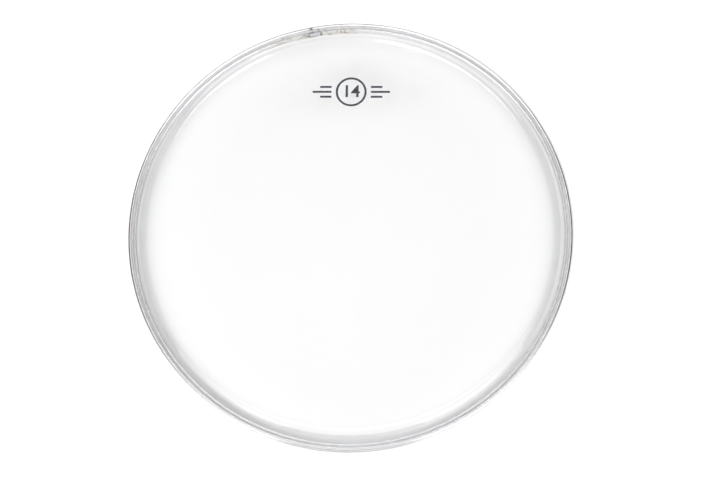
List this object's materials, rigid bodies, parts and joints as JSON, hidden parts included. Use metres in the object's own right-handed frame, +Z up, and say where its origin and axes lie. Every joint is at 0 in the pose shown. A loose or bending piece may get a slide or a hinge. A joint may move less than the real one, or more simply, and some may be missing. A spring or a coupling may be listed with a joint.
{
  "type": "drum head",
  "caption": "Clear drum head: see-through formed film with a raised collar, its slotted skirt cast in resin inside a thin aluminium channel hoop with a keyed seam.",
  "frame": {"origin": "on the head's axis, at the underside of the hoop", "axes": "+Z up through the film, +Y towards the printed mark, with the hoop's seam ten degrees to its left"},
  "size_m": [0.3682, 0.3682, 0.0194],
  "materials": {
    "hoop_aluminium": "bare mill finish with fine drawn lines",
    "key_metal": "dull, with resin left on it",
    "film_clear": "clear glossy polyester",
    "resin_cast": "pale cast resin with a wet gloss",
    "print_ink": "screen-printed dark ink"
  },
  "bodies": {
    "root": {"channel_hoop": "hoop_aluminium", "splice_key": "key_metal", "clear_film": "film_clear", "resin_bed": "resin_cast"}
  },
  "joints": []
}
